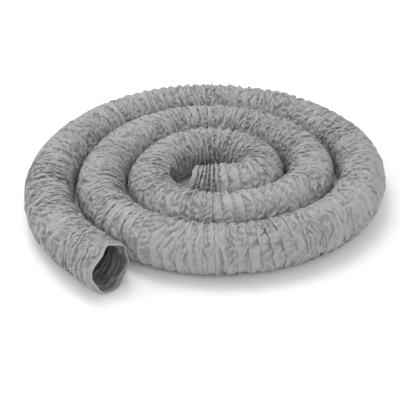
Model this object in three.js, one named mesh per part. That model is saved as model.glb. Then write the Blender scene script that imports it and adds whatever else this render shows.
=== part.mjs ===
// Flexible air duct: two plies of coated fabric with a spring-steel wire helix
// between them, lying in a flat coil. Millimetres, +Z up, floor at z = 0.
import * as THREE from 'three';

// ---- Driving dimensions ----
const PITCH_OF_TURNS = 142;      // from one turn of the coil to the next
const COIL_CENTRE = new THREE.Vector2(32.65, -5.97);
const COIL_RADIUS = 462;         // of the centreline, on the coil's left side
const OVAL = 8.7;                // the coil is a little longer across 27 degrees
const OVAL_AT = rad(27);
const EGG = 4.7;                 // and a little blunter at -11 degrees
const EGG_AT = rad(-11);
const COIL_START = rad(222.5);   // polar angle where the mouth stretch meets the coil
const COIL_END = rad(-710);      // polar angle where the inner end starts its tight turn
const MOUTH_STRETCH = 134;       // a slacker bend than the coil's
const MOUTH_TURN = rad(10);
const INNER_TURN_RADIUS = 79;
const INNER_TURN = rad(85);
const INNER_TAIL = 105;
const INNER_TAIL_TURN = rad(10);

const SIDES = 8;                 // the duct's section is an octagon standing on a flat
const BORE = 123;                // across the flats inside
const PLY = 0.8;
const WIRE = 1.5;
const CLEARANCE = 0.35;          // between a ply and the wire
const FACE_GAP = 0.3;            // between the ends of neighbouring pieces
const HEM = 12;                  // the plies welded together past the last wire
const WIRE_PITCH = 27;
const WIRE_END = 1;              // from the end of a stretch's wire to the end of its plies

const MOST_TURN = rad(15);       // of the centreline between two sections
const LONGEST_STEP = 120;

const INNER_PLY_OUT = BORE / 2 + PLY;
const WIRE_MID = INNER_PLY_OUT + CLEARANCE + WIRE / 2;
const OUTER_PLY_IN = WIRE_MID + WIRE / 2 + CLEARANCE;
const OUTSIDE = OUTER_PLY_IN + PLY;
const AXIS_HEIGHT = OUTSIDE;

// Lengths from the mouth at which the movable end is divided. Each bellows is
// the stretch of wall that folds when a joint moves.
const MOVABLE = [
  ['mouth', HEM, 42],
  ['bellows_1', 42, 102],
  ['link_1', 102, 165],
  ['bellows_2', 165, 210],
  ['link_2', 210, 280],
  ['bellows_3', 280, 325],
  ['link_3', 325, 395],
  ['bellows_4', 395, 440],
];
// Polar angles, in degrees, at which the coil's plies are divided.
const COIL_CUTS = [
  157.5, 112.5, 67.5, 22.5, -22.5, -67.5, -112.5, -157.5,
  -202.5, -247.5, -292.5, -337.5, -382.5, -427.5, -472.5, -517.5,
  -585, -645, -700,
];
const TURN_ENDS = [-157.5, -517.5];  // where one turn's inner ply and wire hand over to the next

function rad(degrees) {
  return THREE.MathUtils.degToRad(degrees);
}

function polar(angle, radius) {
  return new THREE.Vector2(Math.cos(angle), Math.sin(angle)).multiplyScalar(radius);
}

// ---- The centreline: mouth stretch, coil, tight inner turn ----
const FINE = 1;                  // spacing of its points

function coilPoint(angle) {
  const turn = (Math.PI - angle) / (2 * Math.PI);
  const radius = COIL_RADIUS - PITCH_OF_TURNS * turn
    + OVAL * Math.cos(2 * (angle - OVAL_AT)) + EGG * Math.cos(3 * (angle - EGG_AT));
  return polar(angle, radius).add(COIL_CENTRE);
}

// Walks from a point along a heading, turning clockwise evenly over the length.
function walk(from, heading, length, turn) {
  const count = Math.round(length / FINE);
  const points = [];
  let at = from.clone();
  for (let i = 0; i < count; i += 1) {
    const middle = heading - (turn * (i + 0.5)) / count;
    at = polar(middle, length / count).add(at);
    points.push(at);
  }
  return { points, heading: heading - turn };
}

function centreline() {
  const coil = [];
  const angles = [];
  const meanRadius = COIL_RADIUS / 2;
  const count = Math.round(((COIL_START - COIL_END) * meanRadius) / FINE);
  for (let i = 0; i <= count; i += 1) {
    const angle = THREE.MathUtils.lerp(COIL_START, COIL_END, i / count);
    coil.push(coilPoint(angle));
    angles.push(angle);
  }
  const headingOf = (a, b) => b.clone().sub(a).angle();
  const mouth = walk(coil[0], headingOf(coil[1], coil[0]), MOUTH_STRETCH, -MOUTH_TURN).points.reverse();
  const coilHeading = headingOf(coil.at(-2), coil.at(-1));
  const turned = walk(coil.at(-1), coilHeading, INNER_TURN_RADIUS * INNER_TURN, INNER_TURN);
  const tail = walk(turned.points.at(-1), turned.heading, INNER_TAIL, INNER_TAIL_TURN);
  const points = [...mouth, ...coil, ...turned.points, ...tail.points];
  const lengths = [0];
  for (let i = 1; i < points.length; i += 1) {
    lengths.push(lengths[i - 1] + points[i].distanceTo(points[i - 1]));
  }
  const lengthAtAngle = (angle) => {
    const i = angles.findIndex((a) => a <= angle);
    return lengths[mouth.length + i];
  };
  return { points, lengths, lengthAtAngle };
}

const ROUTE = centreline();
const DUCT_LENGTH = ROUTE.lengths.at(-1);

function indexAt(length) {
  let low = 0;
  let high = ROUTE.lengths.length - 2;
  while (low < high) {
    const middle = Math.ceil((low + high) / 2);
    if (ROUTE.lengths[middle] <= length) low = middle;
    else high = middle - 1;
  }
  return low;
}

function pointAt(length) {
  const i = indexAt(length);
  const span = ROUTE.lengths[i + 1] - ROUTE.lengths[i];
  const p = ROUTE.points[i].clone().lerp(ROUTE.points[i + 1], (length - ROUTE.lengths[i]) / span);
  return new THREE.Vector3(p.x, p.y, AXIS_HEIGHT);
}

function tangentAt(length) {
  const reach = 4 * FINE;
  const ahead = pointAt(Math.min(length + reach, DUCT_LENGTH));
  const behind = pointAt(Math.max(length - reach, 0));
  return ahead.sub(behind).normalize();
}

// ---- Sections ----
function octagon(acrossFlats) {
  const corner = acrossFlats / 2 / Math.cos(Math.PI / SIDES);
  const points = [];
  for (let j = 0; j < SIDES; j += 1) {
    const angle = (2 * Math.PI * (j + 0.5)) / SIDES;
    points.push(polar(angle, corner));
  }
  return points;
}

function wallSection(inside, outside) {
  const shape = new THREE.Shape(octagon(2 * outside));
  shape.holes.push(new THREE.Path(octagon(2 * inside)));
  return shape;
}

// ---- Stretches of the duct's wall ----
// The lengths of a stretch's sections, close enough together for its bends.
function sectionsOf(from, to) {
  const forBends = Math.ceil(turning(from, to) / MOST_TURN);
  const steps = Math.max(1, forBends, Math.ceil((to - from) / LONGEST_STEP));
  return Array.from({ length: steps + 1 }, (_, i) => THREE.MathUtils.lerp(from, to, i / steps));
}

function turning(from, to) {
  const step = 5 * FINE;
  let total = 0;
  for (let s = from; s + step <= to; s += step) {
    total += tangentAt(s).angleTo(tangentAt(s + step));
  }
  return total;
}

// A path through the duct's axis at the given sections, cut back at both ends.
class Stretch extends THREE.Curve {
  constructor(sections, cutBackStart = FACE_GAP / 2, cutBackEnd = FACE_GAP / 2) {
    super();
    this.lengths = [...sections];
    this.lengths[0] += cutBackStart;
    this.lengths[this.lengths.length - 1] -= cutBackEnd;
    this.steps = sections.length - 1;
  }

  lengthOf(t) {
    return this.lengths[Math.round(t * this.steps)];
  }

  getPoint(t) {
    return pointAt(this.lengthOf(t));
  }

  getPointAt(u) {
    return this.getPoint(u);
  }

  getTangentAt(u) {
    return tangentAt(this.lengthOf(u));
  }
}

function wall(stretch, inside, outside) {
  return new THREE.ExtrudeGeometry(wallSection(inside, outside), {
    steps: stretch.steps, bevelEnabled: false, extrudePath: stretch,
  });
}

// ---- Where the duct is divided ----
const COIL_FROM = MOVABLE.at(-1)[2];
const COIL_TO = DUCT_LENGTH - HEM;
const lengthAtDegrees = (angle) => ROUTE.lengthAtAngle(rad(angle));
const COIL_BOUNDS = [COIL_FROM, ...COIL_CUTS.map(lengthAtDegrees), COIL_TO];
const TURN_BOUNDS = [COIL_FROM, ...TURN_ENDS.map(lengthAtDegrees), COIL_TO];
const MOVABLE_SECTIONS = MOVABLE.map(([, from, to]) => sectionsOf(from, to));
const COIL_SECTIONS = COIL_BOUNDS.slice(1).map((to, i) => sectionsOf(COIL_BOUNDS[i], to));
const ALL_SECTIONS = [...new Set([...MOVABLE_SECTIONS, ...COIL_SECTIONS].flat())];

// ---- The wire: a helix that keeps to the middle of the faceted wall ----
function cornerAt(length, corner) {
  const radius = WIRE_MID / Math.cos(Math.PI / SIDES);
  const angle = (2 * Math.PI * (corner + 0.5)) / SIDES;
  const forward = tangentAt(length);
  const left = new THREE.Vector3(-forward.y, forward.x, 0);
  return pointAt(length)
    .addScaledVector(left, radius * Math.cos(angle))
    .add(new THREE.Vector3(0, 0, radius * Math.sin(angle)));
}

function helixVertex(index, sections) {
  const length = (index * WIRE_PITCH) / SIDES;
  const corner = index % SIDES;
  const i = sections.findIndex((s) => s > length) - 1;
  const share = (length - sections[i]) / (sections[i + 1] - sections[i]);
  return cornerAt(sections[i], corner).lerp(cornerAt(sections[i + 1], corner), share);
}

class Helix extends THREE.Curve {
  constructor(from, to, sections) {
    super();
    const perVertex = WIRE_PITCH / SIDES;
    const first = Math.ceil(from / perVertex);
    const last = Math.floor(to / perVertex);
    this.vertices = [];
    for (let i = first; i <= last; i += 1) this.vertices.push(helixVertex(i, sections));
    this.steps = last - first;
    this.trimEnds();
  }

  // The two cut ends stand a little back from the neighbouring pieces' ends.
  trimEnds() {
    const trim = (end, next) => end.lerp(next, (2 * FACE_GAP) / end.distanceTo(next));
    trim(this.vertices[0], this.vertices[1]);
    trim(this.vertices.at(-1), this.vertices.at(-2));
  }

  getPoint(t) {
    return this.vertices[Math.round(t * this.steps)].clone();
  }

  getPointAt(u) {
    return this.getPoint(u);
  }

  getTangentAt(u) {
    const i = Math.round(u * this.steps);
    const before = this.vertices[Math.max(i - 1, 0)];
    const after = this.vertices[Math.min(i + 1, this.steps)];
    return after.clone().sub(before).normalize();
  }
}

function wireSection() {
  return new THREE.Shape([0, rad(120), rad(240)].map((angle) => polar(angle, WIRE / 2)));
}

function wire(from, to) {
  const helix = new Helix(from, to, ALL_SECTIONS);
  return new THREE.ExtrudeGeometry(wireSection(), {
    steps: helix.steps, bevelEnabled: false, extrudePath: helix,
  });
}

// ---- Materials ----
function finish(color, roughness, metalness = 0) {
  return new THREE.MeshStandardMaterial({ color, roughness, metalness });
}

const outerFabric = finish(0xa4a5a7, 0.62);
const innerFabric = finish(0x8c8d8e, 0.7);
const hemFabric = finish(0xb4b4b2, 0.6);
const springSteel = finish(0x9a9c9e, 0.35, 0.9);

// ---- Assembly ----
const duct = new THREE.Group();

function add(name, geometry, material) {
  const mesh = new THREE.Mesh(geometry, material);
  mesh.name = name;
  duct.add(mesh);
}

function ply(name, sections) {
  add(`outer_ply_${name}`, wall(new Stretch(sections), OUTER_PLY_IN, OUTSIDE), outerFabric);
}

function liner(name, sections) {
  add(`inner_ply_${name}`, wall(new Stretch(sections), BORE / 2, INNER_PLY_OUT), innerFabric);
}

function helix(name, sections) {
  add(`wire_helix_${name}`, wire(sections[0] + WIRE_END, sections.at(-1) - WIRE_END), springSteel);
}

// Hems: both plies in one band, past the last turn of wire.
const mouthHem = new Stretch([0, HEM], 0);
const innerEndHem = new Stretch([COIL_TO, DUCT_LENGTH], FACE_GAP / 2, 0);
add('mouth_hem', wall(mouthHem, BORE / 2, OUTSIDE), hemFabric);
add('inner_end_hem', wall(innerEndHem, BORE / 2, OUTSIDE), hemFabric);

// The movable end: each stretch has its own plies and wire.
MOVABLE_SECTIONS.forEach((sections, i) => {
  const [name] = MOVABLE[i];
  ply(name, sections);
  liner(name, sections);
  helix(name, sections);
});

// The coil: its outer ply in short stretches, its inner ply and wire turn by turn.
COIL_SECTIONS.forEach((sections, i) => ply(`coil_${String(i + 1).padStart(2, '0')}`, sections));
TURN_BOUNDS.slice(1).forEach((to, i) => {
  const from = TURN_BOUNDS[i];
  const sections = ALL_SECTIONS.filter((s) => s >= from && s <= to);
  liner(`turn_${i + 1}`, sections);
  helix(`turn_${i + 1}`, sections);
});

export default duct;
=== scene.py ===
"""Looks of the flexible air duct: two crumpled plies of coated fabric on a spring-steel helix.

The duct's wall is one grid of cloth, rings by columns. A cloth solver relaxes it from a
tube onto the wire, with more fabric between two turns of wire than the pitch takes, so
that it buckles into folds. The plies, the wire and the hems are all cut from that grid.
Metres, in the CAD frame.
"""

import math

import bpy
import numpy as np
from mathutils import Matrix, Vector


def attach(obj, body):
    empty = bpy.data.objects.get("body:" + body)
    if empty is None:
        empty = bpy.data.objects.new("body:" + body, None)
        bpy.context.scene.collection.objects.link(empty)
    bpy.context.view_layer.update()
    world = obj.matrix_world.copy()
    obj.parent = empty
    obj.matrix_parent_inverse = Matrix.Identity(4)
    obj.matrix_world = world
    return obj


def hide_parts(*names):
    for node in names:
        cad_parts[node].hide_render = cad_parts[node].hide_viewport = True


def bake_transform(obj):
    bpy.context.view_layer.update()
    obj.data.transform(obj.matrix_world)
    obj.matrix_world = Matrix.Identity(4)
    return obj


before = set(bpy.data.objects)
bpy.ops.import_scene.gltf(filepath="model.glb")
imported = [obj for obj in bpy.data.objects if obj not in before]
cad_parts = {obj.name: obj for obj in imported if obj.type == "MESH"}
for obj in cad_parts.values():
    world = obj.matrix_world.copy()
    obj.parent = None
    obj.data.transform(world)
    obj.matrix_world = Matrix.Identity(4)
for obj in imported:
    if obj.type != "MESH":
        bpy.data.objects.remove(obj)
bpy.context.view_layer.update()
MM = 0.001

# ---- The duct's route, as the CAD lays it ----
PITCH_OF_TURNS = 142 * MM
COIL_CENTRE = np.array([32.65, -5.97]) * MM
COIL_RADIUS = 462 * MM
OVAL, OVAL_AT = 8.7 * MM, math.radians(27)
EGG, EGG_AT = 4.7 * MM, math.radians(-11)
COIL_START, COIL_END = math.radians(222.5), math.radians(-710)
MOUTH_STRETCH, MOUTH_TURN = 134 * MM, math.radians(10)
INNER_TURN_RADIUS, INNER_TURN = 79 * MM, math.radians(85)
INNER_TAIL, INNER_TAIL_TURN = 135 * MM, math.radians(19)
ROUTE_STEP = 1 * MM
AXIS_HEIGHT = 65.9 * MM

# ---- The joints, by length from the mouth: where the wall folds between two bodies ----
BELLOWS = (
    ("mouth_end", "end_link_1", 42 * MM, 102 * MM),
    ("end_link_1", "end_link_2", 165 * MM, 210 * MM),
    ("end_link_2", "end_link_3", 280 * MM, 325 * MM),
    ("end_link_3", "coil", 395 * MM, 440 * MM),
)
END_CUTS = np.array([133.5, 245, 360, 480]) * MM   # where the movable end's pieces meet
COIL_PIECES = 7

# ---- The wall ----
WIRE_PITCH = 27 * MM              # where the duct lies straight or nearly so
SHUT_PITCH = 14 * MM              # at the inner end, which is pushed together
SHUT_FROM, SHUT_TO = 100 * MM, 75 * MM   # from that end
PITCH_VARIES, PITCH_REACH = 0.10, 90     # by this share, and staying alike over so many route steps
PITCH_EVENED = 31                 # in route steps
FABRIC_PER_TURN = 40 * MM         # from one turn of wire to the next, along the fabric
TAUT = 0.86                       # on a bend's outer side the pitch reaches this share of it at most
LINING_PER_TURN = 33 * MM         # the same along the inner ply
SHORTEST_PITCH = 5 * MM
SLACK_ROUND = 1.0                 # fabric round the duct, to the way round over the wire
WIRE_CIRCLE = 64.6 * MM
WIRE_RADIUS = 0.6 * MM
OVER_WIRE = 1.05 * MM             # from the middle of the wire to the outside of the fabric
WIRE_PHASE = 22.5 / 360           # where round the section the wire starts
LINING_GAP = 0.75 * MM            # from the outer ply to the inner one
LINING_OFF_WIRE = 1.3 * MM        # and this much more under the wire
HEM = 12 * MM
INNERMOST, OUTERMOST = 47 * MM, 68 * MM
FLOOR_GAP = 0.5 * MM
NEXT_TURN_GAP = 0.4 * MM          # half of what stays free between two turns of the coil

# ---- The wire's unevenness ----
WIRE_REACH = {"tilt": 3, "lean": 3, "slip": 2, "oval": 3, "skew": 3, "tri": 3, "sway": 2.5}   # in turns
WIRE_SLIP, WIRE_TILT, WIRE_SWAY = 1.4 * MM, 2.4 * MM, 1.0 * MM
WIRE_OVAL, WIRE_SKEW, WIRE_TRI = 0.65, 0.55, 0.4     # in millimetres

# ---- The folds ----
TUCK = 0.30                       # how far the fabric starts out pushed in between the wires
RIPPLE = 3.5 * MM                 # the small folds that it starts out with
LOOSE = 2.6 * MM                  # how far the inner ply hangs in, here and there
DIP = 6.5 * MM                    # between two wires the fabric stays in by this much
CREASE_WIDTH = 0.28               # share of a crease field's spread
CREASE_SLANT = 9                  # in rows
PRESSED_IN = 2.4 * MM             # how deep a crease is
LIFT = 1.1 * MM                   # how far the fabric stands off the wire in places
FINE = 0.4 * MM                   # the finest ripples
FOLD_DEPTH = 1.2 * MM             # a point this far below its surroundings lies deep in a fold
# How far each random field over the wall stays alike, in rows and in columns.
REACH = {
    "slant": (30, 14), "crease": (4, 16), "broken": (6, 8),
    "press": (14, 14), "dip": (14, 12), "rumple": (3, 4),
    "shift": (10, 10), "tuck": (12, 9), "ripple": (3.2, 18),
    "fine": (3, 14), "lift": (3, 7), "loose": (4.5, 6),
}

# ---- The cloth solver, in each round ----
ROUNDS, QUICK_ROUNDS = 120, 60
STRETCH, SHEAR = 0.9, 0.5         # shares of an error that are put right
BEND_AXIAL, BEND_AROUND = 0.02, 0.3
PRESS = 0.02 * MM                 # inwards
SAG = 0.006 * MM                  # down

# ---- The two ends ----
MOUTH_SLANT, MOUTH_REACH = 7 * MM, 60 * MM    # the cut's bottom stands out by this much
END_SLANT, END_REACH = 20 * MM, 85 * MM
END_TAPER = 0.08                  # the crumpled inner end is this much narrower
HEM_RADIUS = 64.9 * MM
# Flats worn into the hems: where they face, in degrees, and how far out they lie, as a share of the radius.
MOUTH_FLATS = ((58, 0.84), (118, 0.93), (178, 0.92), (222, 0.90), (268, 0.97), (330, 0.94))
END_FLATS = ((35, 0.93), (100, 0.95), (215, 0.92), (300, 0.96))
FLAT_ROUNDING = 0.6 * MM
HEM_OUT, HEM_IN = 0.5 * MM, 1.7 * MM    # how far a hem stands off the plies outside and inside
HEM_RIM = np.radians((30, 60, 90, 120, 150))
HEM_WAVES = (1.3 * MM, 5, 0), (0.9 * MM, 9, 1)   # along the duct: height, how many round it, shift
WELD_ROW, WELD_OUT = 5, 0.1 * MM        # a weld runs round the hem here, pressed in to this

# ---- The grid ----
ROWS_PER_TURN = 20
COLUMNS = 112
WIRE_STEPS = 48                   # in a turn
WIRE_SIDES = 6
SEED = 7

# ---- The camera and the light ----
CAMERA_TARGET = Vector((-0.0191, -0.1354, 0.067))
CAMERA_DISTANCE, CAMERA_ELEVATION = 2.478, math.radians(33.5)
SENSOR, LENS = 36, 82.95          # in millimetres
WORLD = 0.75
LAMPS = (("key", (-0.8, 0.9, 4.0), 70, 2.0), ("fill", (0.4, -3.0, 2.6), 26, 1.8),
         ("left", (-3.2, -0.2, 1.8), 20, 1.6))       # place, watts, size
FLOOR_HALF = 6.0


# =============================== camera ===============================
def make_camera():
    data = bpy.data.cameras.new("camera")
    camera = bpy.data.objects.new("camera", data)
    bpy.context.scene.collection.objects.link(camera)
    away = Vector((0, -math.cos(CAMERA_ELEVATION), math.sin(CAMERA_ELEVATION)))
    camera.location = CAMERA_TARGET + CAMERA_DISTANCE * away
    camera.rotation_euler = (CAMERA_TARGET - camera.location).to_track_quat("-Z", "Y").to_euler()
    data.sensor_width = SENSOR
    data.lens = LENS
    bpy.context.scene.camera = camera


make_camera()


# =============================== route ===============================
def polar(angle, radius):
    return radius * np.array([math.cos(angle), math.sin(angle)])


def coil_point(angle):
    turn = (math.pi - angle) / (2 * math.pi)
    oval = OVAL * math.cos(2 * (angle - OVAL_AT))
    egg = EGG * math.cos(3 * (angle - EGG_AT))
    return COIL_CENTRE + polar(angle, COIL_RADIUS - PITCH_OF_TURNS * turn + oval + egg)


def walk(at, heading, length, turn):
    """Points along a line that turns clockwise evenly, and the heading at its end."""
    count = round(length / ROUTE_STEP)
    points = []
    for i in range(count):
        at = at + polar(heading - turn * (i + 0.5) / count, length / count)
        points.append(at)
    return points, heading - turn


def heading_of(a, b):
    return math.atan2(b[1] - a[1], b[0] - a[0])


class Route:
    """The duct's centreline in plan, by length from the mouth."""

    def __init__(self):
        count = round((COIL_START - COIL_END) * COIL_RADIUS / 2 / ROUTE_STEP)
        coil = [coil_point(a) for a in np.linspace(COIL_START, COIL_END, count + 1)]
        mouth, _ = walk(coil[0], heading_of(coil[1], coil[0]), MOUTH_STRETCH, -MOUTH_TURN)
        heading = heading_of(coil[-2], coil[-1])
        turned, heading = walk(coil[-1], heading, INNER_TURN_RADIUS * INNER_TURN, INNER_TURN)
        tail, _ = walk(turned[-1], heading, INNER_TAIL, INNER_TAIL_TURN)
        self.points = np.array(mouth[::-1] + coil + turned + tail)
        steps = np.linalg.norm(np.diff(self.points, axis=0), axis=1)
        self.lengths = np.concatenate([[0], np.cumsum(steps)])
        self.length = self.lengths[-1]

    def at(self, s):
        """Points at lengths s; past either end the line goes on straight."""
        inside = np.clip(s, 0, self.length)
        xy = [np.interp(inside, self.lengths, self.points[:, k]) for k in (0, 1)]
        return np.stack(xy) + (s - inside) * self.tangent(inside)

    def tangent(self, s):
        reach = 4 * MM
        s = np.clip(s, 0, self.length)
        ahead, behind = np.minimum(s + reach, self.length), np.maximum(s - reach, 0)
        d = [np.interp(ahead, self.lengths, self.points[:, k])
             - np.interp(behind, self.lengths, self.points[:, k]) for k in (0, 1)]
        return np.stack(d) / np.hypot(*d)

    def curvature(self, s):
        """How sharply the line turns clockwise, per metre."""
        reach = 15 * MM
        a = self.tangent(np.maximum(s - reach, 0))
        b = self.tangent(np.minimum(s + reach, self.length))
        turn = np.arctan2(a[1] * b[0] - a[0] * b[1], a[0] * b[0] + a[1] * b[1])
        return turn / (2 * reach)


ROUTE = Route()

# =============================== noise ===============================
RNG = np.random.default_rng(SEED)


def wander(count, reach):
    """A smooth random line of unit spread; reach is how many samples it stays alike for."""
    waves = np.fft.rfftfreq(count) * reach
    fade = np.exp(-0.5 * (2 * np.pi * waves) ** 2 / 4)
    line = np.fft.irfft(np.fft.rfft(RNG.standard_normal(count)) * fade, count)
    return line / line.std()


def patches(name):
    """A smooth random field over the grid, of unit spread, that closes round the columns."""
    rows, (row_reach, column_reach) = GRID.rows, REACH[name]
    field = np.fft.rfft2(RNG.standard_normal((rows, COLUMNS)))
    down = np.fft.fftfreq(rows)[:, None] * row_reach
    across = np.fft.rfftfreq(COLUMNS)[None] * column_reach
    field *= np.exp(-0.5 * (2 * np.pi) ** 2 * (down**2 + across**2) / 4)
    field = np.fft.irfft2(field, (rows, COLUMNS))
    return field / field.std()


def smoothstep(low, high, x):
    t = np.clip((x - low) / (high - low), 0, 1)
    return t * t * (3 - 2 * t)


def warped(field, rows_away):
    """The field with each of its points taken from some rows further on."""
    at = np.clip(np.arange(len(field))[:, None] + rows_away, 0, len(field) - 1.001)
    low = at.astype(int)
    share = at - low
    return (np.take_along_axis(field, low, axis=0) * (1 - share)
            + np.take_along_axis(field, low + 1, axis=0) * share)


# =============================== the grid ===============================
def shut_at(s):
    """How far the wall is pushed together at lengths s: 0 where it isn't, 1 at the inner end."""
    return smoothstep(SHUT_FROM, SHUT_TO, ROUTE.length - s)


def size_at(s):
    """The section's size at lengths s, as a share of the full one."""
    return 1 - END_TAPER * smoothstep(ROUTE.length - END_REACH, ROUTE.length, s)


class Grid:
    """Where the rings of the wall are, and how far each point is from the wire."""

    def __init__(self):
        s = np.arange(0, ROUTE.length, ROUTE_STEP)
        bend = np.maximum(ROUTE.curvature(s), 0)
        uneven = 1 + PITCH_VARIES * np.clip(wander(len(s), PITCH_REACH), -2, 1.5)
        longest = TAUT * FABRIC_PER_TURN / (1 + WIRE_CIRCLE * bend)
        pitch = np.minimum(WIRE_PITCH * uneven, longest)
        shut = shut_at(s)
        pitch = pitch * (1 - shut) + SHUT_PITCH * shut
        kernel = np.hanning(PITCH_EVENED)
        pitch = np.pad(pitch, PITCH_EVENED // 2, mode="edge")
        pitch = np.convolve(pitch, kernel / kernel.sum(), "valid")
        turns = np.concatenate([[0], np.cumsum(ROUTE_STEP / pitch)])
        self.turn_table = turns * round(turns[-1] * ROWS_PER_TURN) / (turns[-1] * ROWS_PER_TURN)
        self.s_table = np.linspace(0, ROUTE.length, len(turns))
        self.rows = round(self.turn_table[-1] * ROWS_PER_TURN) + 1
        self.turn = np.arange(self.rows) / ROWS_PER_TURN
        self.s = self.length_at(self.turn)
        self.angles = 2 * np.pi * np.arange(COLUMNS) / COLUMNS
        self.centre = ROUTE.at(self.s).astype(np.float32)[:, :, None]
        self.tangent = ROUTE.tangent(self.s).astype(np.float32)[:, :, None]
        self.left = np.stack([-self.tangent[1], self.tangent[0]])
        self.bend = np.maximum(ROUTE.curvature(self.s), 0)
        self.in_hem = np.flatnonzero((self.s <= HEM) | (self.s >= ROUTE.length - HEM))
        self.size = size_at(self.s).astype(np.float32)[:, None]
        self.height = AXIS_HEIGHT * self.size
        self.set_room()
        self.wire_phase = (np.arange(COLUMNS) / COLUMNS - WIRE_PHASE) % 1
        off = (self.turn[:, None] - self.wire_phase[None]) % 1
        self.from_wire = np.minimum(off, 1 - off) * ROWS_PER_TURN

    def length_at(self, turn):
        return np.interp(turn, self.turn_table, self.s_table)

    def row_at(self, s):
        return int(np.searchsorted(self.s, s))

    def pitch_here(self):
        """The pitch at each grid point: longer on a bend's outer side, shorter on its inner one."""
        across = WIRE_CIRCLE * np.cos(self.angles)[None]
        pitch = np.gradient(self.s)[:, None] * ROWS_PER_TURN * (1 + self.bend[:, None] * across)
        return np.maximum(pitch, SHORTEST_PITCH)

    def set_room(self):
        """How far the wall may reach to its left and right before it meets the next turn."""
        every, unbounded = 6, 120 * MM
        other_turn, abreast = 300 * MM, 30 * MM
        points = self.centre[:, ::every, 0].T
        s = self.s[::every]
        room = np.full((2, len(s)), unbounded)
        for i, (p, length) in enumerate(zip(points, s)):
            other = points[np.abs(s - length) > other_turn] - p
            t, n = self.tangent[:, i * every, 0], self.left[:, i * every, 0]
            along, across = other @ t, other @ n
            beside = across[np.abs(along) < abreast]
            for side, values in enumerate((beside[beside > 0], -beside[beside < 0])):
                if len(values):
                    room[side, i] = min(room[side, i], values.min() / 2)
        self.room = [np.interp(self.s, s, r).astype(np.float32)[:, None] - NEXT_TURN_GAP for r in room]


GRID = Grid()


def spot(s, across, up):
    """Points across and up from the duct's axis at lengths s.

    Both ends are cut at a slant, so that the bottom stands out further than the top.
    """
    size = size_at(s)
    low = -up / AXIS_HEIGHT
    s = (s - MOUTH_SLANT * smoothstep(MOUTH_REACH, 0, s) * low
         + END_SLANT * smoothstep(ROUTE.length - END_REACH, ROUTE.length, s) * low)
    t = ROUTE.tangent(s)
    x, y = ROUTE.at(s) + size * across * np.stack([-t[1], t[0]])
    return np.stack([x, y, np.maximum(size * (AXIS_HEIGHT + up), FLOOR_GAP)])


# =============================== the wire ===============================
def wire_noise():
    count = int(GRID.turn_table[-1] + 2) * WIRE_STEPS
    noise = {"turn": np.arange(count) / WIRE_STEPS - 1}
    for name, reach in WIRE_REACH.items():
        noise[name] = np.clip(wander(count, reach * WIRE_STEPS), -2, 2)
    return noise


WIRE_NOISE = wire_noise()


def wire_line(turn):
    """Points of the wire at these turns of the helix, with the unevenness of a real one."""
    angle = 2 * np.pi * (turn + WIRE_PHASE)
    s = GRID.length_at(turn)
    bend = np.maximum(ROUTE.curvature(s), 0)
    shut = shut_at(s)
    inside = np.cos(angle) < 0
    still = np.clip(1 - 1.25 * WIRE_CIRCLE * bend * inside, 0.15, 1) * (1 - 0.6 * shut)

    def look(name):
        return np.interp(turn, WIRE_NOISE["turn"], WIRE_NOISE[name])

    tilt = look("tilt") * np.cos(angle) + look("lean") * np.sin(angle)
    s = s + (WIRE_SLIP * look("slip") + WIRE_TILT * tilt) * still
    radius = WIRE_CIRCLE + MM * (WIRE_OVAL * look("oval") * np.cos(2 * angle)
                                 + WIRE_SKEW * look("skew") * np.sin(2 * angle)
                                 + WIRE_TRI * look("tri") * np.cos(3 * angle))
    at = spot(s, radius * np.cos(angle) + WIRE_SWAY * look("sway"), radius * np.sin(angle))
    at[2] = np.maximum(at[2], FLOOR_GAP + OVER_WIRE)
    return at


# =============================== cloth solver ===============================
def pull(a, b, rest, stiffness, only_short=False):
    """Brings the ends of each edge, a and b, towards its rest length."""
    d = b - a
    length = np.sqrt(d[0] * d[0] + d[1] * d[1] + d[2] * d[2])
    change = 0.5 * stiffness * (1 - rest / np.maximum(length, 1e-6))
    if only_short:
        change = np.minimum(change, 0)
    change = np.maximum(change, -1.0)
    d *= change
    a += d
    b -= d


def hem_ring(flats):
    """The radius round a hem: a circle with flats worn into it."""
    radius = np.full(COLUMNS, HEM_RADIUS)
    least = 0.3                   # a flat ends where its radius would run away
    for degrees, share in flats:
        facing = np.cos(GRID.angles - math.radians(degrees))
        flat = np.where(facing > least, share * HEM_RADIUS / np.maximum(facing, least), 1)
        radius = -FLAT_ROUNDING * np.logaddexp(-radius / FLAT_ROUNDING, -flat / FLAT_ROUNDING)
    return radius


def beside_wire(rows):
    """1 on the wire, fading out over so many rows to both sides of it."""
    return np.exp(-((GRID.from_wire / rows) ** 2))


def past_hem():
    """From 0 at each hem's edge to 1 a little further on, by row."""
    return smoothstep(HEM, HEM + 10 * MM, np.minimum(GRID.s, ROUTE.length - GRID.s))[:, None]


SLANT = CREASE_SLANT * patches("slant")


def folded_before():
    """Where the fabric keeps the mark of an old fold: long slanting lines round the duct, 0 to 1."""
    lines = patches("crease")
    broken = smoothstep(-0.6, 0.5, patches("broken"))
    return warped(np.exp(-((lines / CREASE_WIDTH) ** 2)) * broken, SLANT)


CREASES = folded_before()


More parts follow.
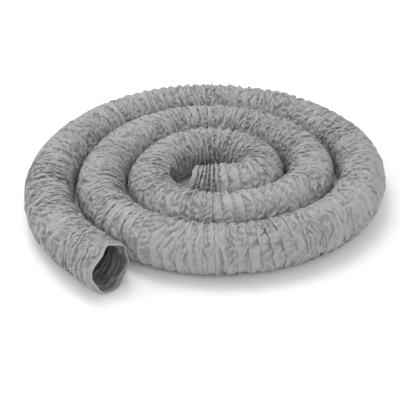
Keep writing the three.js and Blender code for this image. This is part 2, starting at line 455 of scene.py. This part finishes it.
class Cloth:
    """The wall's fabric, held on the wire, pressed between the turns beside it and the floor."""

    def __init__(self):
        g = GRID
        per_row = FABRIC_PER_TURN / ROWS_PER_TURN
        per_column = 2 * np.pi * (WIRE_CIRCLE + OVER_WIRE) / COLUMNS
        self.axial = np.full((g.rows, COLUMNS), per_row, np.float32)
        self.around = (per_column * SLACK_ROUND * g.size ** 0.7 * np.ones(COLUMNS)).astype(np.float32)
        self.press = (PRESS * np.clip(0.6 + 0.6 * patches("press"), 0, 1.3)).astype(np.float32)
        between = np.minimum(g.from_wire / (ROWS_PER_TURN / 2), 1)
        dip = np.clip(0.7 + 0.4 * patches("dip"), 0.3, 1.2)
        dip = dip * past_hem() * (1 - shut_at(g.s)[:, None])
        self.outermost = (OUTERMOST * g.size - DIP * dip * between ** 0.8).astype(np.float32)
        self.hold_hems()
        self.x = self.tube()
        self.hold_on_wire()

    def hold_hems(self):
        g = GRID
        s = g.s[g.in_hem][:, None]
        radius = np.where(s < ROUTE.length / 2, hem_ring(MOUTH_FLATS)[None], hem_ring(END_FLATS)[None])
        rumple = patches("rumple")[g.in_hem] * 1.1 * MM
        wave = sum(high * np.sin(waves * g.angles + shift) for high, waves, shift in HEM_WAVES)
        s = np.broadcast_to(s, radius.shape) + wave[None]
        radius = radius - np.abs(rumple)
        place = spot(s, radius * np.cos(g.angles), radius * np.sin(g.angles))
        self.hem_place = place.astype(np.float32)

    def tube(self):
        """The fabric before it settles: pushed in between the wires and along the old creases."""
        g = GRID
        outside = WIRE_CIRCLE + OVER_WIRE
        spare = np.sqrt(np.maximum(FABRIC_PER_TURN**2 - g.pitch_here() ** 2, 0)) / 2
        off = g.turn[:, None] - g.wire_phase[None] + 0.10 * patches("shift")
        tuck = 1 - np.abs(2 * (off % 1) - 1)
        share = np.clip(TUCK + 0.2 * patches("tuck"), 0.1, 0.7)
        shut = shut_at(g.s)[:, None]
        share = share * (1 - shut) + 0.8 * shut
        small = RIPPLE * warped(patches("ripple"), SLANT) - 0.6 * PRESSED_IN * CREASES
        radius = outside - share * spare * tuck + small * (1 - shut)
        radius = np.maximum(radius, INNERMOST)
        s = np.broadcast_to(g.s[:, None], radius.shape)
        x = spot(s, radius * np.cos(g.angles), radius * np.sin(g.angles)).astype(np.float32)
        x[:, g.in_hem] = self.hem_place
        return x

    def hold_on_wire(self):
        """Finds the grid rows on both sides of each crossing of the wire, and the crossing's place."""
        turn = np.arange(int(GRID.turn_table[-1]) + 1)[:, None] + GRID.wire_phase[None]
        s = GRID.length_at(turn)
        inside = (s > HEM) & (s < ROUTE.length - HEM)
        column = np.broadcast_to(np.arange(COLUMNS), turn.shape)[inside]
        turn = turn[inside]
        row = np.floor(turn * ROWS_PER_TURN).astype(int)
        self.share = (turn * ROWS_PER_TURN - row).astype(np.float32)
        self.low, self.high = (row, column), (row + 1, column)
        self.wire = wire_line(turn).astype(np.float32)
        across = np.cos(GRID.angles)[column] * GRID.left[:, row, 0]
        up = np.sin(GRID.angles)[column][None]
        self.target = (self.wire + OVER_WIRE * np.concatenate([across, up])).astype(np.float32)
        self.target[2] = np.maximum(self.target[2], FLOOR_GAP)

    def attach(self):
        """Puts the fabric back on the wire, and the hems back in their place."""
        low, high, share = self.low, self.high, self.share
        x = self.x
        a, b = x[:, low[0], low[1]], x[:, high[0], high[1]]
        d = (self.target - a * (1 - share) - b * share) / ((1 - share) ** 2 + share**2)
        x[:, low[0], low[1]] += d * (1 - share)
        x[:, high[0], high[1]] += d * share
        x[:, GRID.in_hem] = self.hem_place

    def clear_wire(self):
        """Pushes the rows beside the wire off it."""
        clear = OVER_WIRE + 0.25 * MM
        row, column = self.low
        for away in (-1, 0, 1, 2):
            near = np.clip(row + away, 0, GRID.rows - 1)
            d = self.x[:, near, column] - self.wire
            length = np.maximum(np.sqrt((d * d).sum(0)), 1e-6)
            self.x[:, near, column] += d / length * np.maximum(clear - length, 0)

    def keep_inside(self, sag):
        """Keeps the fabric between its innermost and outermost radius, off the floor and the next turns."""
        g, x = GRID, self.x
        x[2] -= sag
        rel = x[:2] - g.centre
        across = rel[0] * g.left[0] + rel[1] * g.left[1]
        up = x[2] - g.height
        radius = np.hypot(across, up)
        scale = np.clip(radius - self.press, INNERMOST * g.size, self.outermost) / radius
        moved = np.clip(across * scale, -g.room[1], g.room[0]) - across
        x[:2] += g.left * moved
        x[2] = np.maximum(g.height + up * scale, FLOOR_GAP)

    def relax(self, rounds):
        """Lets the fabric settle; edges that share no point are put right together."""
        x, axial, around = self.x, self.axial, self.around
        diagonal = np.sqrt(axial**2 + around**2)
        rows = x.shape[1]
        stiff = (1 - 0.95 * CREASES).astype(np.float32)
        for _ in range(rounds):
            for p in (0, 1):
                pull(x[:, p:-1:2], x[:, p + 1::2], axial[p:-1:2], STRETCH)
            for p in (0, 1):
                pull(x[:, :, p:-1:2], x[:, :, p + 1::2], around[:, p:-1:2], STRETCH)
            pull(x[:, :, -1], x[:, :, 0], around[:, -1], STRETCH)
            for p in (0, 1):
                a, b, rest = x[:, p:-1:2], x[:, p + 1::2], diagonal[p:-1:2]
                pull(a[..., :-1], b[..., 1:], rest[:, :-1], SHEAR)
                pull(a[..., -1], b[..., 0], rest[:, -1], SHEAR)
                pull(a[..., 1:], b[..., :-1], rest[:, 1:], SHEAR)
                pull(a[..., 0], b[..., -1], rest[:, 0], SHEAR)
            for start in (0, 2):
                n = ((rows - start - 1) // 4) * 4
                block = x[:, start:start + n].reshape(3, n // 4, 4, COLUMNS)
                rest = 2 * axial[start:start + n].reshape(n // 4, 4, COLUMNS)[:, :2]
                middle = stiff[start + 1:start + n + 1].reshape(n // 4, 4, COLUMNS)[:, :2]
                pull(block[:, :, :2], block[:, :, 2:], rest, BEND_AXIAL * middle, only_short=True)
            for start in range(4):
                a, b = x[:, :, start:-2:4], x[:, :, start + 2::4]
                pull(a, b, 2 * around[:, start:-2:4], BEND_AROUND, only_short=True)
            self.attach()
            self.keep_inside(SAG)


def grid_normals(x):
    """Unit normals of the whole wall, pointing out of the duct, one for each grid point."""
    down = np.gradient(x, axis=1)
    wrapped = np.concatenate([x[:, :, -1:], x, x[:, :, :1]], axis=2)
    n = np.cross(wrapped[:, :, 2:] - wrapped[:, :, :-2], down, axis=0)
    n /= np.maximum(np.linalg.norm(n, axis=0), 1e-12)
    centre = np.concatenate([GRID.centre, GRID.height[None]])
    return n if np.mean(((x - centre) * n).sum(0)) > 0 else -n


def settle():
    """The wall once it has settled, with the creases and the finest ripples pressed in."""
    cloth = Cloth()
    cloth.relax(ROUNDS)
    g = GRID
    spare = np.clip(FABRIC_PER_TURN / g.pitch_here() - 1, 0, 2.5)
    depth = PRESSED_IN * (0.3 + spare) * CREASES - FINE * warped(patches("fine"), SLANT)
    depth = depth * (1 - 0.85 * beside_wire(1.3)) * past_hem() * (1 - 0.8 * shut_at(g.s)[:, None])
    lift = LIFT * np.clip(patches("lift"), -0.3, 2) * beside_wire(2.5) * past_hem()
    cloth.x -= (grid_normals(cloth.x) * (depth - lift)[None]).astype(np.float32)
    cloth.clear_wire()
    cloth.keep_inside(0)
    return cloth.x


def blurred(x, times):
    """The grid's values, evened out with their neighbours' this many times."""
    for _ in range(times):
        x = (x + 0.5 * np.roll(x, 1, axis=2) + 0.5 * np.roll(x, -1, axis=2)) / 2
        inner = (x[:, 1:-1] + 0.5 * x[:, 2:] + 0.5 * x[:, :-2]) / 2
        x = np.concatenate([x[:, :1], inner, x[:, -1:]], axis=1)
    return x


def lining_of(x):
    """The inner ply: close inside the outer one and inside the wire, without its sharpest folds."""
    g = GRID
    rel = x[:2] - g.centre
    across = rel[0] * g.left[0] + rel[1] * g.left[1]
    up = x[2] - g.height
    radius = np.hypot(across, up)
    least = radius.copy()
    for down in (-2, -1, 0, 1, 2):
        for side in (-1, 0, 1):
            moved = np.roll(radius, side, axis=1)
            moved = moved[np.clip(np.arange(g.rows) + down, 0, g.rows - 1)]
            least = np.minimum(least, moved)
    least[g.in_hem] = radius[g.in_hem]
    inside = least - LINING_GAP - LINING_OFF_WIRE * beside_wire(1.8)
    inside -= LOOSE * np.clip(patches("loose"), 0, 2) * past_hem()
    inside = np.minimum(blurred(inside[None], 1)[0], inside + 0.3 * MM)
    inside[g.in_hem] = radius[g.in_hem] - LINING_GAP
    scale = inside / radius
    y = x.copy()
    y[:2] += g.left * (across * (scale - 1))
    y[2] = g.height + up * scale
    return y


WALL = settle()
LINING = lining_of(WALL)
OUTWARDS = grid_normals(WALL)
LINING_OUTWARDS = grid_normals(LINING)


def folds_of(x, normals):
    """How deep in a fold each point lies, below 0 on a ridge."""
    return np.clip(((blurred(x, 5) - x) * normals).sum(0) / FOLD_DEPTH, -1, 1)


FOLDS = folds_of(WALL, OUTWARDS)
LINING_FOLDS = -folds_of(LINING, LINING_OUTWARDS)
FLAT_ROUND = 2 * math.pi * (WIRE_CIRCLE + OVER_WIRE)


# =============================== meshes ===============================
def new_mesh(name, points, faces):
    """An object from points (n by 3) and faces, a list of arrays with a face's corners in each row."""
    mesh = bpy.data.meshes.new(name)
    mesh.vertices.add(len(points))
    mesh.vertices.foreach_set("co", np.ascontiguousarray(points, np.float32).ravel())
    corners = np.concatenate([f.ravel() for f in faces]).astype(np.int32)
    sizes = np.concatenate([np.full(len(f), f.shape[1]) for f in faces])
    mesh.loops.add(len(corners))
    mesh.loops.foreach_set("vertex_index", corners)
    mesh.polygons.add(len(sizes))
    starts = np.concatenate([[0], np.cumsum(sizes)[:-1]])
    mesh.polygons.foreach_set("loop_start", starts.astype(np.int32))
    mesh.update(calc_edges=True)
    mesh.shade_smooth()
    obj = bpy.data.objects.new(name, mesh)
    bpy.context.scene.collection.objects.link(obj)
    return obj


def ring_faces(rows, columns, closed=False):
    """Quads between rings of points, from each ring to the next."""
    i, j = np.meshgrid(np.arange(rows if closed else rows - 1), np.arange(columns), indexing="ij")
    here, below, beside = i * columns, (i + 1) % rows * columns, (j + 1) % columns
    return np.stack([here + j, below + j, below + beside, here + beside], -1).reshape(-1, 4)


def facing_out(points, faces):
    """The faces, turned over if they enclose their solid inside out."""
    first = points[faces[0]]
    volume = np.einsum("ij,ij->i", first[:, 0], np.cross(first[:, 1], first[:, 2])).sum()
    volume += np.einsum("ij,ij->i", first[:, 0], np.cross(first[:, 2], first[:, 3])).sum()
    return [f[:, ::-1] for f in faces] if volume < 0 else faces


def add_surface(obj, around, along, fold):
    """Where each point lies on the cloth: round it and along it in metres, and how deep in a fold."""
    mesh = obj.data
    place = mesh.attributes.new("tube", "FLOAT_VECTOR", "POINT")
    radius, angle = FLAT_ROUND / (2 * math.pi), around / FLAT_ROUND * 2 * math.pi
    tube = np.stack([radius * np.cos(angle), radius * np.sin(angle), along], -1)
    place.data.foreach_set("vector", tube.astype(np.float32).ravel())
    depth = mesh.attributes.new("fold", "FLOAT", "POINT")
    depth.data.foreach_set("value", fold.astype(np.float32).ravel())
    corner = np.empty(len(mesh.loops), np.int32)
    mesh.loops.foreach_get("vertex_index", corner)
    start = np.empty(len(mesh.polygons), np.int32)
    mesh.polygons.foreach_get("loop_start", start)
    count = np.diff(np.append(start, len(corner)))
    u, v = around.ravel()[corner], along.ravel()[corner]
    most = np.repeat(np.maximum.reduceat(u, start), count)
    u = np.where(most - u > FLAT_ROUND / 2, u + FLAT_ROUND, u)
    layer = mesh.uv_layers.new(name="cloth")
    layer.uv.foreach_set("vector", np.stack([u, v], -1).astype(np.float32).ravel())


def ply_mesh(name, x, normals, folds, rows, step, inside_out):
    """A stretch of a ply, from one row of the grid to another, and the length of its cut cloth."""
    rows = np.unique(np.append(np.arange(rows[0], rows[1], step), rows[1]))
    pick = np.ix_(rows, np.arange(0, COLUMNS, step))
    columns = len(pick[1][0])
    points = x[:, pick[0], pick[1]].transpose(1, 2, 0).reshape(-1, 3)
    quads = ring_faces(len(rows), columns)
    obj = new_mesh(name, points, [quads if inside_out else quads[:, ::-1]])
    out = normals[:, pick[0], pick[1]].transpose(1, 2, 0).reshape(-1, 3)
    obj.data.normals_split_custom_set_from_vertices((-out if inside_out else out).astype(np.float32))
    along = rows * FABRIC_PER_TURN / ROWS_PER_TURN
    around, along = np.meshgrid(pick[1][0] / COLUMNS * FLAT_ROUND, along)
    add_surface(obj, around.ravel(), along.ravel(), folds[pick].ravel())
    per_turn = LINING_PER_TURN if inside_out else FABRIC_PER_TURN
    return obj, per_turn * (rows[-1] - rows[0]) / ROWS_PER_TURN


def wire_mesh(name, start, end):
    """The spring wire between two turns of its helix, closed at both ends."""
    turn = np.linspace(start, end, round((end - start) * WIRE_STEPS) + 1)
    line = wire_line(turn)
    ahead = np.gradient(line, axis=1)
    ahead /= np.linalg.norm(ahead, axis=0)
    s = GRID.length_at(turn)
    out = line - spot(s, 0 * s, 0 * s)
    out -= ahead * (out * ahead).sum(0)
    out /= np.maximum(np.linalg.norm(out, axis=0), 1e-9)
    across = np.cross(ahead, out, axis=0)
    angle = 2 * np.pi * np.arange(WIRE_SIDES) / WIRE_SIDES
    spokes = out[:, :, None] * np.cos(angle) + across[:, :, None] * np.sin(angle)
    points = (line[:, :, None] + WIRE_RADIUS * spokes).transpose(1, 2, 0).reshape(-1, 3)
    first, last = np.arange(WIRE_SIDES), (len(turn) - 1) * WIRE_SIDES
    caps = np.stack([first[::-1], last + first])
    obj = new_mesh(name, points, facing_out(points, [ring_faces(len(turn), WIRE_SIDES), caps[:, ::-1]]))
    along = np.repeat(turn * 2 * math.pi * WIRE_CIRCLE, WIRE_SIDES)
    around = np.tile(angle / (2 * math.pi) * FLAT_ROUND, len(turn))
    add_surface(obj, around, along, np.zeros(len(points)))
    return obj


def hem_mesh(name, rows):
    """A hem: a band folded over the ends of both plies, from its rim in rows[0] to its edge in rows[-1]."""
    out = OUTWARDS[:, rows]
    off = np.full(len(rows), HEM_OUT)
    off[WELD_ROW] = WELD_OUT
    outside = WALL[:, rows] + out * off[:, None]
    inside = LINING[:, rows] - out * HEM_IN
    away = WALL[:, rows[0]] - WALL[:, rows[1]]
    away /= np.linalg.norm(away, axis=0)
    middle, half = (outside[:, 0] + inside[:, 0]) / 2, (outside[:, 0] - inside[:, 0]) / 2
    thickness = np.linalg.norm(half, axis=0)
    rim = [middle + half * math.cos(a) + away * thickness * 0.7 * math.sin(a) for a in HEM_RIM]
    x = np.concatenate([outside[:, ::-1], np.stack(rim, 1), inside], axis=1)
    x[2] = np.maximum(x[2], 0.1 * MM)
    count = x.shape[1]
    points = x.transpose(1, 2, 0).reshape(-1, 3)
    obj = new_mesh(name, points, facing_out(points, [ring_faces(count, COLUMNS, closed=True)]))
    along = np.cumsum(np.append(0, np.linalg.norm(np.diff(x, axis=1), axis=0).mean(1)))
    around, along = np.meshgrid(np.arange(COLUMNS) / COLUMNS * FLAT_ROUND, along)
    depth = np.zeros((count, COLUMNS))
    depth[len(rows) - 1 - WELD_ROW] = 0.8
    depth[len(rows) - 1:len(rows) + len(rim) - 2] = -1
    add_surface(obj, around.ravel(), along.ravel(), depth.ravel())
    return obj


# =============================== materials ===============================
class Nodes:
    """A material's node tree."""

    def __init__(self, name, **sockets):
        self.material = bpy.data.materials.new(name)
        self.material.use_nodes = True
        self.tree = self.material.node_tree
        self.shader = self.tree.nodes["Principled BSDF"]
        for socket, value in sockets.items():
            self.shader.inputs[socket.replace("_", " ")].default_value = value

    def add(self, kind, settings=(), **inputs):
        """A node's first output; i0, i1 and so on name an input by its number."""
        node = self.tree.nodes.new(kind)
        for name, value in dict(settings).items():
            setattr(node, name, value)
        for name, value in inputs.items():
            by_number = name[0] == "i" and name[1:].isdigit()
            socket = node.inputs[int(name[1:]) if by_number else name.replace("_", " ")]
            if isinstance(value, bpy.types.NodeSocket):
                self.tree.links.new(value, socket)
            else:
                socket.default_value = value
        return node.outputs[0]

    def math(self, operation, a, b):
        return self.add("ShaderNodeMath", {"operation": operation}, i0=a, i1=b)

    def attribute(self, name, output):
        node = self.tree.nodes.new("ShaderNodeAttribute")
        node.attribute_name = name
        return node.outputs[output]

    def scaled(self, vector, *scale):
        return self.add("ShaderNodeMapping", Vector=vector, Scale=scale)

    def noise(self, vector, scale, detail=3.0, roughness=0.55):
        return self.add("ShaderNodeTexNoise", Vector=vector, Scale=scale, Detail=detail, Roughness=roughness)

    def ramp(self, factor, low, high, to_low, to_high):
        return self.add("ShaderNodeMapRange", i0=factor, i1=low, i2=high, i3=to_low, i4=to_high)

    def mix(self, factor, a, b, blend="MIX"):
        node = self.tree.nodes.new("ShaderNodeMix")
        node.data_type, node.blend_type = "RGBA", blend
        for socket, value in ((node.inputs[0], factor), (node.inputs[6], a), (node.inputs[7], b)):
            if isinstance(value, bpy.types.NodeSocket):
                self.tree.links.new(value, socket)
            else:
                socket.default_value = value
        return node.outputs[2]

    def bump(self, height, distance, strength, under=None):
        inputs = dict(Height=height, Distance=distance, Strength=strength)
        if under is not None:
            inputs["Normal"] = under
        return self.add("ShaderNodeBump", **inputs)

    def finish(self, color, roughness, normal):
        for value, name in ((color, "Base Color"), (roughness, "Roughness"), (normal, "Normal")):
            self.tree.links.new(value, self.shader.inputs[name])
        return self.material


def grey(value, warmth=0.0):
    return (value * (1 + warmth), value, value * (1 - warmth), 1)


THREADS_ROUND = 420
THREAD = FLAT_ROUND / THREADS_ROUND


def bands(apart):
    """The scale of a Wave texture whose bands lie this far apart."""
    return math.pi / 10 / apart


def cloth_material(name, plain, worn, painted_shade, rough, weave, streaks):
    """Coated fabric: woven, thinly coated, with creases and rubbed on the ridges, and darker deep in the
    folds and along the streaks, which is painted shade.
    """
    m = Nodes(name, Sheen_Weight=0.12, Sheen_Roughness=0.5, Specular_IOR_Level=0.42)
    place, fold = m.attribute("tube", "Vector"), m.attribute("fold", "Fac")
    mottle = m.noise(place, 16, 4)
    smudge = m.noise(place, 55, 3)
    streak = m.noise(m.scaled(place, 1, 1, 9), 46, 5, 0.62)
    grain = m.noise(place, 1500, 2)
    cloth = m.add("ShaderNodeUVMap", {"uv_map": "cloth"})
    threads = [m.add("ShaderNodeTexWave", {"bands_direction": d}, Vector=cloth, Scale=bands(THREAD))
               for d in ("X", "Y")]
    woven = m.math("MAXIMUM", *threads)
    deep = m.ramp(fold, 0.35, 1.0, 0.0, 1.0)
    ridge = m.ramp(fold, -0.1, -0.6, 0.0, 1.0)
    color = m.mix(m.ramp(mottle, 0.3, 0.7, 0.0, 1.0), plain, grey(plain[0] * 1.14))
    color = m.mix(m.math("MULTIPLY", ridge, m.ramp(smudge, 0.35, 0.65, 0.2, 0.8)), color, worn)
    # painted shade: the colour turns darker deep in the folds, where shadow falls
    color = m.mix(m.math("MULTIPLY", deep, 0.35), color, painted_shade)
    # painted shade: a little darker along the streaky wrinkles
    color = m.mix(m.ramp(streak, 0.55, 0.8, 0.0, 0.10), color, painted_shade)
    roughness = m.ramp(smudge, 0.3, 0.7, rough - 0.07, rough + 0.07)
    roughness = m.math("ADD", roughness, m.math("MULTIPLY", ridge, -0.06))
    normal = m.bump(woven, 0.08 * MM, weave)
    normal = m.bump(grain, 0.05 * MM, 0.5, normal)
    normal = m.bump(streak, 1.6 * MM, streaks, normal)
    return m.finish(color, roughness, normal)


def hem_material():
    """The hem: both plies welded flat under a smoother, paler tape, with the weld's fine ribs."""
    m = Nodes("hem_fabric", Sheen_Weight=0.08, Sheen_Roughness=0.5, Specular_IOR_Level=0.45)
    place, fold = m.attribute("tube", "Vector"), m.attribute("fold", "Fac")
    mottle, grain = m.noise(place, 30, 4), m.noise(place, 1400, 2)
    cloth = m.add("ShaderNodeUVMap", {"uv_map": "cloth"})
    ribs = m.add("ShaderNodeTexWave", {"bands_direction": "X"}, Vector=cloth, Scale=bands(2 * THREAD))
    color = m.mix(m.ramp(mottle, 0.3, 0.7, 0.0, 1.0), grey(0.28), grey(0.33, 0.01))
    color = m.mix(m.ramp(fold, 0.1, 0.8, 0.0, 0.6), color, grey(0.17))
    color = m.mix(m.ramp(fold, -0.4, -1.0, 0.0, 1.0), color, grey(0.38, 0.01))
    normal = m.bump(ribs, 0.15 * MM, m.ramp(fold, 0.1, 0.6, 0.15, 1.0))
    normal = m.bump(grain, 0.06 * MM, 0.5, normal)
    normal = m.bump(m.noise(place, 120, 3), 1.0 * MM, 0.5, normal)
    return m.finish(color, m.ramp(mottle, 0.3, 0.7, 0.5, 0.62), normal)


def wire_material():
    """Spring steel: drawn along its length, a little dulled."""
    m = Nodes("spring_steel", Metallic=1.0, Specular_IOR_Level=0.5)
    place = m.attribute("tube", "Vector")
    drawn, dull = m.noise(m.scaled(place, 1, 1, 0.03), 400, 3), m.noise(place, 60, 3)
    color = m.mix(m.ramp(dull, 0.35, 0.65, 0.0, 1.0), grey(0.46), grey(0.34, 0.03))
    return m.finish(color, m.ramp(dull, 0.35, 0.65, 0.28, 0.45), m.bump(drawn, 0.03 * MM, 0.5))


OUTER_FABRIC = cloth_material("outer_fabric", plain=grey(0.305, -0.006), worn=grey(0.365),
                              painted_shade=grey(0.13), rough=0.50, weave=0.35, streaks=0.35)
# The inner ply is the same fabric as the outer one, coloured much darker all over: painted shade for the
# inside of the duct.
INNER_FABRIC_PAINTED_SHADE = cloth_material("inner_fabric", plain=grey(0.15), worn=grey(0.21),
                              painted_shade=grey(0.06), rough=0.58, weave=0.45, streaks=0.35)
HEM_FABRIC = hem_material()
SPRING_STEEL = wire_material()


# =============================== pieces ===============================
def cuts():
    """The rows at which the plies and the wire are divided, from the mouth to the inner end."""
    in_plies = 2 * MM            # past each rim, inside its hem
    end = [GRID.row_at(s) for s in END_CUTS]
    last = GRID.row_at(ROUTE.length - in_plies)
    coil = np.linspace(end[-1], last, COIL_PIECES + 1).round().astype(int)[1:]
    return [GRID.row_at(in_plies), *end, *coil]


CUTS = cuts()
NAMES = ["mouth", "bend_2", "bend_3", "bend_4"] + [f"coil_{i + 1}" for i in range(COIL_PIECES)]
# The CAD nodes' names in each piece of the movable end, and how many nodes the coil's plies have.
MOVABLE = ["mouth", "bellows_1", "link_1"], ["bellows_2", "link_2"], ["bellows_3", "link_3"], ["bellows_4"]
FREE = len(MOVABLE)
OUTER_NODES = 20
INNER_NODES = {1: 1, 3: 2, 5: 3}    # piece of the coil: turn of the inner ply that it stands for


def join(piece, index):
    """A piece of the movable end looks up its bellows and has its place baked into its points; a piece of
    the coil rides on the coil's body.
    """
    if index >= FREE:
        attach(piece, "coil")
        return
    near, far, start, end = BELLOWS[index]
    places = [(*ROUTE.at(np.array(s)), AXIS_HEIGHT) for s in (start, end)]
    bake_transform(piece)


def coil_nodes(index, inner):
    """The coil's CAD nodes that its piece number index stands for."""
    if inner:
        return [f"inner_ply_turn_{INNER_NODES[index]}"] if index in INNER_NODES else []
    here = [i + 1 for i in range(OUTER_NODES) if i * COIL_PIECES // OUTER_NODES == index]
    return [f"outer_ply_coil_{n:02d}" for n in here]


def finish_piece(piece, material, nodes):
    piece.data.materials.append(material)
    if nodes:
        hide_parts(*nodes)


WIRES, HEMS = [], []
for i, name in enumerate(NAMES[:FREE] + ["coil"]):
    free = i < FREE
    span = (CUTS[i], CUTS[i + 1]) if free else (CUTS[FREE], CUTS[-1])
    start = max(span[0] / ROWS_PER_TURN, np.interp(HEM, GRID.s, GRID.turn))
    end = min(span[1] / ROWS_PER_TURN, np.interp(ROUTE.length - HEM, GRID.s, GRID.turn))
    wire = wire_mesh("spring_" + name, start, end)
    nodes = [f"wire_helix_{n}" for n in (MOVABLE[i] if free else ("turn_1", "turn_2", "turn_3"))]
    finish_piece(wire, SPRING_STEEL, nodes)
    join(wire, i)
    WIRES.append(wire)

mouth_rows = GRID.in_hem[GRID.in_hem < GRID.rows / 2]
end_rows = GRID.in_hem[GRID.in_hem > GRID.rows / 2][::-1]
for name, rows, body, node in (("mouth_band", mouth_rows, "mouth_end", "mouth_hem"),
                               ("inner_end_band", end_rows, "coil", "inner_end_hem")):
    hem = hem_mesh(name, rows)
    finish_piece(hem, HEM_FABRIC, [node])
    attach(hem, body)
    HEMS.append(hem)

for kind, x, normals, folds, material in (
    ("outer", WALL, OUTWARDS, FOLDS, OUTER_FABRIC),
    ("inner", LINING, LINING_OUTWARDS, LINING_FOLDS, INNER_FABRIC_PAINTED_SHADE),
):
    inner = kind == "inner"
    for i, name in enumerate(NAMES):
        first, last = i == 0, i == len(NAMES) - 1
        step = 2 if inner and i >= FREE and not last else 1    # coarser where no opening shows it
        span = (CUTS[i], CUTS[i + 1])
        piece, length = ply_mesh(f"{kind}_cloth_{name}", x, normals, folds, span, step, inner)
        nodes = [f"{kind}_ply_{n}" for n in MOVABLE[i]] if i < FREE else coil_nodes(i - FREE, inner)
        finish_piece(piece, material, nodes)
        join(piece, i)
        wire = WIRES[min(i, FREE)]


# =============================== stage ===============================
def make_stage():
    mesh = bpy.data.meshes.new("floor")
    h = FLOOR_HALF
    mesh.from_pydata([(-h, -h, 0), (h, -h, 0), (h, h, 0), (-h, h, 0)], [], [(0, 1, 2, 3)])
    floor = bpy.data.objects.new("floor", mesh)
    bpy.context.scene.collection.objects.link(floor)
    m = Nodes("floor_white", Base_Color=grey(0.9), Roughness=0.9)
    mesh.materials.append(m.material)
    world = bpy.data.worlds.new("world")
    bpy.context.scene.world = world
    world.use_nodes = True
    world.node_tree.nodes["Background"].inputs["Color"].default_value = (1, 1, 1, 1)
    world.node_tree.nodes["Background"].inputs["Strength"].default_value = WORLD
    for name, place, energy, size in LAMPS:
        light = bpy.data.lights.new(name, "AREA")
        light.energy, light.size = energy, size
        lamp = bpy.data.objects.new(name, light)
        bpy.context.scene.collection.objects.link(lamp)
        lamp.location = place
        lamp.rotation_euler = (Vector((0, 0, 0)) - lamp.location).to_track_quat("-Z", "Y").to_euler()
    bpy.context.scene.view_settings.view_transform = "Standard"


make_stage()
